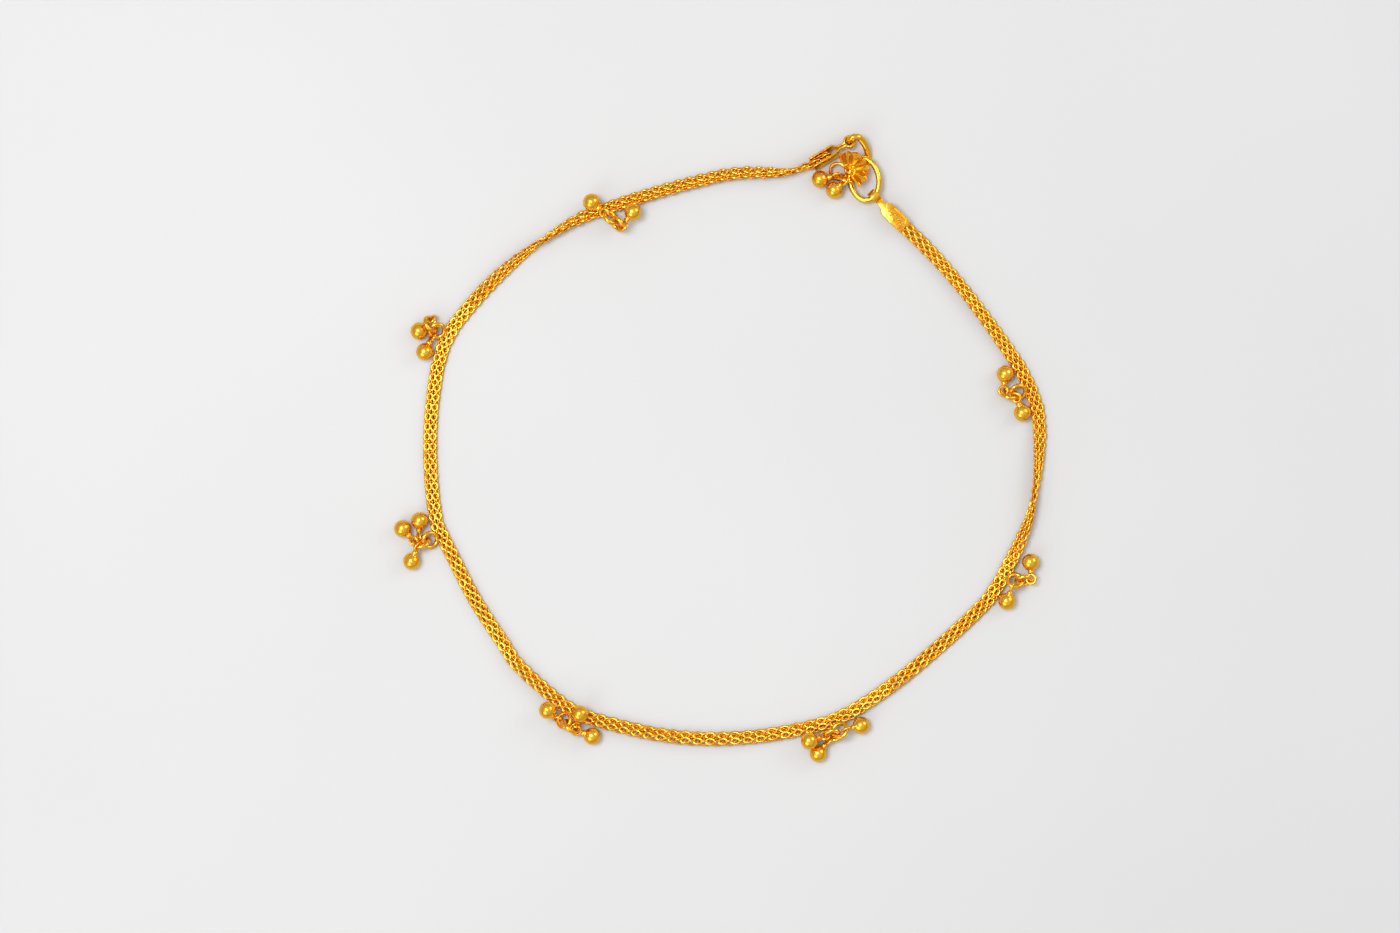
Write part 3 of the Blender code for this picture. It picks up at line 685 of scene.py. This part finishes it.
def dropPlace(name):
    # the ball's middle from a sphere through its points, then the eye behind it
    points = nodePoints(name)
    centre = points.mean(axis=0)
    spread = np.cov((points - centre).T)
    axis = np.linalg.eigh(spread)[1][:, 2]
    along = (points - centre) @ axis
    if along.max() > -along.min():
        axis, along = -axis, -along
    ball = points[along > along.max() - charmLook["ballRadius"] * charmLook["ballReach"]]
    sums = np.hstack([2 * ball, np.ones((len(ball), 1))])
    middle = np.linalg.lstsq(sums, (ball**2).sum(axis=1), rcond=None)[0][:3]
    pole = points[np.argmax(along)]
    way = Vector(pole - middle).normalized()
    eyeCentre = Vector(middle) - way * charmLook["dropReach"]
    flat = points[along < along.min() + charmLook["eyeMean"] * charmLook["eyeReach"]]
    normal = flattestWay(flat)
    normal = (normal - normal.dot(way) * way).normalized()
    return axesFrame(eyeCentre, way, normal.cross(way))


def charms():
    look = charmLook
    for number in range(1, len(look["soldered"]) + 1):
        name = f"outer_ring_{number}"
        verts, faces = ringMesh(look["ringMean"], look["ringWire"])
        spot = ringOfNode(name)
        ring = meshPiece(
            f"linkedRing{number}", placed(verts, spot), faces, wireGold
        )
        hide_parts(name)
        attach(ring, "root")
    for name, mean in look["clasp"]:
        verts, faces = ringMesh(mean, look["claspWire"])
        verts = placed(verts, ringOfNode(name))
        ring = meshPiece(name.replace("_", ""), verts, faces, wireGold)
        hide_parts(name)
        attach(ring, "root")
    dropVerts, faces = dropMesh()
    for number in range(1, look["drops"] + 1):
        name = f"drop_{number:02d}"
        verts = placed(dropVerts, dropPlace(name))
        drop = meshPiece(f"ballDrop{number:02d}", verts, faces, roundGold)
        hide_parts(name)
        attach(drop, "root")
    print("stage: rings and drops ready")


# The clasp
hookLook = {
    "wire": 0.0009, "steps": 90, "sides": 20, "taper": 5,
    # points from the left cap's eye, then from the connector ring's middle
    "upper": (
        (0.0001, -0.00017, -0.0007), (0.00005, -0.00008, -0.00035), (0.0, 0.0, 0.0),
        (-0.00003, 0.0002, 0.0006), (0.0003, 0.0005, 0.0011), (0.0009, 0.00062, 0.0011),
        (0.00145, 0.00042, 0.0008), (0.0021, -0.0004, 0.0001), (0.00246, -0.00133, -0.00045),
    ),
    "lower": (
        (0.00048, 0.00270, -0.00077), (0.0, 0.00169, -0.00079), (-0.00062, 0.0013, -0.0007),
        (-0.00087, 0.00162, 0.0), (-0.00121, 0.00203, 0.00072), (-0.00189, 0.00243, 0.00091),
    ),
}
shellLook = {
    "radius": 0.003, "spread": 168, "narrow": 0.15, "rise": 0.0009, "wall": 0.0003,
    "flutes": 6, "flute": 0.00024, "scallop": 0.03, "apex": (-0.00229, 0.00095, 0.00086),
    "heading": 34, "slope": 2, "rows": 18, "columns": 108, "start": 0.12,
    "domeStart": 0.25, "domeRun": 2.2, "fluteRun": 1.4,
    "edge": 0.00004, "edgeSegments": 2, "edgeAngle": 50,
}


def connectorRing():
    line = ovalLine(
        connector["length"] - connector["wire"], connector["width"] - connector["wire"],
        connector["steps"],
    )
    verts, faces = tube(line, connector["stoutWire"], connector["sides"], True)
    spot = Matrix.Translation(shift) @ linkPlace
    ring = meshPiece("connectorRing", placed(verts, spot), faces, wireGold)
    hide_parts("connector_ring")
    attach(ring, "root")


def sHook():
    eye = leftCap @ Vector((capLength, 0, 0))
    points = [eye + Vector(row) for row in hookLook["upper"]]
    points += [linkCentre + Vector(row) for row in hookLook["lower"]]
    line = evenPoints(smoothLine(points), hookLook["steps"])
    verts, faces = tube(line, hookLook["wire"], hookLook["sides"], False, taper=hookLook["taper"])
    hook = meshPiece("sHook", verts + np.array(shift), faces, wireGold)
    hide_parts("hook")
    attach(hook, "root")


def shellHeight(share, turn):
    look = shellLook
    fade = min(1, share * look["domeRun"] + look["domeStart"])
    dome = look["rise"] * (1 - share**2) * fade
    wave = math.cos(look["flutes"] * turn * 2 * math.pi)
    ridge = 2 * math.asin(wave) / math.pi
    return dome + look["flute"] * min(1, look["fluteRun"] * share) * ridge


def flutedShell():
    # a fan of rows from the apex to the scalloped rim, with a wall under it
    look = shellLook
    verts, faces = [], []
    for row in range(look["rows"] + 1):
        share = look["start"] + (1 - look["start"]) * row / look["rows"]
        for column in range(look["columns"] + 1):
            turn = column / look["columns"]
            angle = math.radians((turn - 0.5) * look["spread"])
            reach = look["radius"] * (1 - look["narrow"] * (2 * abs(turn - 0.5)) ** 2)
            wave = math.cos(look["flutes"] * turn * 2 * math.pi)
            reach *= share * (1 - look["scallop"] * share * (1 - wave))
            height = shellHeight(share, turn)
            verts.append((reach * math.cos(angle), reach * math.sin(angle), height))
    across = look["columns"] + 1
    for row in range(look["rows"]):
        for column in range(look["columns"]):
            a = row * across + column
            faces.append((a, a + across, a + across + 1, a + 1))
    centre = linkCentre + Vector(look["apex"])
    lie = ringFrame(centre, heading(look["heading"]), -look["slope"], 0)
    verts = placed(np.array(verts), Matrix.Translation(shift) @ lie)
    shell = meshPiece("flutedShell", verts, faces, plateGold)
    if shell.data.polygons[0].normal.z < 0:
        shell.data.flip_normals()
    wall = shell.modifiers.new("wall", "SOLIDIFY")
    wall.thickness = look["wall"]
    wall.offset = -1
    soft = shell.modifiers.new("soft", "BEVEL")
    soft.width = look["edge"]
    soft.segments = look["edgeSegments"]
    soft.limit_method = "ANGLE"
    soft.angle_limit = math.radians(look["edgeAngle"])
    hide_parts("hook")
    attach(shell, "root")


capLook = {
    "edge": 0.00006, "edgeSegments": 3, "edgeProfile": 0.6, "mergeGap": 0.000002,
    "flatAngle": 3, "sharpAngle": 0.6, "shadeAngle": 35,  # degrees, radians, degrees
    # the stamped panel: x from the cap's mouth, sizes across its face
    "frontX": 0.0004, "backX": 0.0031, "plateInset": 0.00022, "cornerInset": 0.0003,
    "cornerRound": 0.45, "arcSteps": 8, "borderSteps": 64, "borderWire": 0.00018,
    "borderSides": 8, "petals": 5, "petalLength": 0.0005, "petalWidth": 0.00028,
    "petalOut": 0.78, "petalRows": 8, "petalSides": 12, "dotRadius": 0.00017,
    "rosetteX": 0.0007, "dotY": 0.00045,
}


def softenedCap(nodeName, pieceName):
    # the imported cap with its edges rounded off
    look = capLook
    shape = bmesh.new()
    shape.from_mesh(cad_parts[nodeName].data)
    bmesh.ops.remove_doubles(shape, verts=shape.verts, dist=look["mergeGap"])
    bmesh.ops.dissolve_limit(
        shape, angle_limit=math.radians(look["flatAngle"]), verts=shape.verts, edges=shape.edges
    )
    sharp = [
        edge for edge in shape.edges
        if len(edge.link_faces) == 2 and edge.calc_face_angle(0) > look["sharpAngle"]
    ]
    bmesh.ops.bevel(
        shape, geom=sharp, offset=look["edge"], segments=look["edgeSegments"],
        profile=look["edgeProfile"], affect="EDGES", clamp_overlap=True,
    )
    bmesh.ops.triangulate(shape, faces=[f for f in shape.faces if len(f.verts) > 4])
    mesh = bpy.data.meshes.new(pieceName)
    shape.to_mesh(mesh)
    shape.free()
    mesh.shade_smooth()
    mesh.set_sharp_from_angle(angle=math.radians(look["shadeAngle"]))
    mesh.materials.clear()
    mesh.materials.append(plateGold)
    piece = bpy.data.objects.new(pieceName, mesh)
    bpy.context.scene.collection.objects.link(piece)
    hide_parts(nodeName)
    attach(piece, "root")


def petal(length, width, height):
    # a low pointed lens, lying along x
    rows = capLook["petalRows"]
    profile = [(-length / 2, 0)]
    for step in range(1, rows):
        x = -length / 2 + length * step / rows
        profile.append((x, width / 2 * math.sin(math.pi * step / rows)))
    profile.append((length / 2, 0))
    verts, faces = turned(profile, capLook["petalSides"])
    verts[:, 2] *= 2 * height / width
    return verts, faces


def panelBorder():
    # a wire round the panel, with a flat arc at each end
    look = capLook
    wide = cap["width"] / 2 - look["plateInset"]
    ends = ((look["backX"] - look["cornerInset"], -90), (look["frontX"] + look["cornerInset"], 90))
    corners = []
    for centreX, start in ends:
        for step in range(look["arcSteps"] + 1):
            turn = math.radians(start + 180 * step / look["arcSteps"])
            x = centreX + wide * look["cornerRound"] * math.cos(turn)
            corners.append(Vector((x, wide * math.sin(turn), 0)))
    line = evenPoints(corners + corners[:1], look["borderSteps"] + 1)[:-1]
    return tube(line, look["borderWire"], look["borderSides"], True)


def stampedPattern():
    # a plain bordered panel of petals and dots on the right cap's upper face
    look = capLook
    parts = [panelBorder()]
    middleX = (look["frontX"] + look["backX"]) / 2
    for centreX in (middleX - look["rosetteX"], middleX + look["rosetteX"]):
        for step in range(look["petals"]):
            turn = math.radians(360 * step / look["petals"])
            verts, faces = petal(look["petalLength"], look["petalWidth"], look["dotRadius"])
            spot = Matrix.Translation((centreX, 0, 0)) @ Matrix.Rotation(turn, 4, "Z")
            spot = spot @ Matrix.Translation((look["petalLength"] * look["petalOut"], 0, 0))
            parts.append((placed(verts, spot), faces))
    aside, over = look["rosetteX"], look["dotY"]
    for x, y in ((-aside, 0), (aside, 0), (0, over), (0, -over)):
        verts, faces = petal(look["dotRadius"] * 2, look["dotRadius"] * 2, look["dotRadius"])
        parts.append((verts + np.array((middleX + x, y, 0)), faces))
    verts, faces = joined(parts)
    face = rightCap @ Matrix.Translation((0, -capHalf, 0)) @ Matrix.Rotation(math.pi / 2, 4, "X")
    verts = placed(verts, Matrix.Translation(shift) @ face)
    pattern = meshPiece("stampedPattern", verts, faces, plateGold)
    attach(pattern, "root")


for chainPiece in chainLinks() + solderedRings():
    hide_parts("chain")
    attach(chainPiece, "root")
charms()
connectorRing()
sHook()
flutedShell()
softenedCap("left_cap", "leftCap")
softenedCap("right_cap", "rightCap")
stampedPattern()
print("stage: clasp ready")

# The floor, the lights and the camera
studio = {
    "floorSize": 1.2, "floorDrop": 0.00003, "floorRough": 0.6, "floorCloud": 14,
    "floorTones": (0.51, 0.555),
    "worldTop": 0.86, "worldSide": 0.43,
    "key": {"place": (-0.15, 0.06, 0.5), "size": 0.22, "power": 1.7},
    "fill": {"place": (-0.26, -0.3, 0.3), "size": 0.34, "power": 0.5},
    "rim": {"place": (0.34, 0.2, 0.26), "size": 0.26, "power": 0.45},
    "middle": (700, 466.5), "photoOrigin": (720.5, 447.5), "frameWidth": 1400,
    "focal": 100, "sensor": 36,
}


def studioFloor():
    shape = bmesh.new()
    bmesh.ops.create_grid(shape, x_segments=8, y_segments=8, size=studio["floorSize"] / 2)
    bmesh.ops.translate(shape, verts=shape.verts, vec=(0, 0, -studio["floorDrop"]))
    mesh = bpy.data.meshes.new("studioFloor")
    shape.to_mesh(mesh)
    shape.free()
    floor = bpy.data.objects.new("studioFloor", mesh)
    bpy.context.scene.collection.objects.link(floor)
    material = bpy.data.materials.new("paleFloor")
    material.use_nodes = True
    nodes, join = material.node_tree.nodes, material.node_tree.links.new
    shader = nodes["Principled BSDF"]
    shader.inputs["Roughness"].default_value = studio["floorRough"]
    where = nodes.new("ShaderNodeTexCoord")
    cloud = nodes.new("ShaderNodeTexNoise")
    cloud.inputs["Scale"].default_value = studio["floorCloud"]
    tones = nodes.new("ShaderNodeMapRange")
    tones.inputs["To Min"].default_value, tones.inputs["To Max"].default_value = (
        studio["floorTones"]
    )
    tint = nodes.new("ShaderNodeCombineColor")
    join(where.outputs["Object"], cloud.inputs["Vector"])
    join(cloud.outputs["Fac"], tones.inputs["Value"])
    for channel in ("Red", "Green", "Blue"):
        join(tones.outputs["Result"], tint.inputs[channel])
    join(tint.outputs["Color"], shader.inputs["Base Color"])
    mesh.materials.append(material)


def softWorld():
    # a bright ceiling that fades towards the walls
    world = bpy.data.worlds.new("softStudio")
    bpy.context.scene.world = world
    world.use_nodes = True
    nodes, join = world.node_tree.nodes, world.node_tree.links.new
    back = nodes["Background"]
    where = nodes.new("ShaderNodeTexCoord")
    parts = nodes.new("ShaderNodeSeparateXYZ")
    fade = nodes.new("ShaderNodeMapRange")
    fade.inputs["To Min"].default_value = studio["worldSide"]
    fade.inputs["To Max"].default_value = studio["worldTop"]
    join(where.outputs["Generated"], parts.inputs["Vector"])
    join(parts.outputs["Z"], fade.inputs["Value"])
    join(fade.outputs["Result"], back.inputs["Strength"])
    back.inputs["Color"].default_value = (1, 1, 1, 1)


def softbox(name, look):
    data = bpy.data.lights.new(name, "AREA")
    data.shape = "DISK"
    data.size = look["size"]
    data.energy = look["power"]
    lamp = bpy.data.objects.new(name, data)
    bpy.context.scene.collection.objects.link(lamp)
    lamp.location = look["place"]
    lamp.rotation_euler = (-Vector(look["place"])).to_track_quat("-Z", "Y").to_euler()


def overheadCamera():
    data = bpy.data.cameras.new("overhead")
    data.sensor_width = studio["sensor"]
    data.lens = studio["focal"]
    camera = bpy.data.objects.new("overhead", data)
    bpy.context.scene.collection.objects.link(camera)
    x = (studio["middle"][0] - studio["photoOrigin"][0]) * photoScale + shift.x
    y = (studio["photoOrigin"][1] - studio["middle"][1]) * photoScale + shift.y
    height = studio["frameWidth"] * photoScale * studio["focal"] / studio["sensor"]
    camera.location = (x, y, height)
    bpy.context.scene.camera = camera
    bpy.context.scene.view_settings.view_transform = "Standard"  # keeps the gold's full colour


studioFloor()
softWorld()
for lampName in ("key", "fill", "rim"):
    softbox(lampName, studio[lampName])
overheadCamera()
print("stage: studio ready")
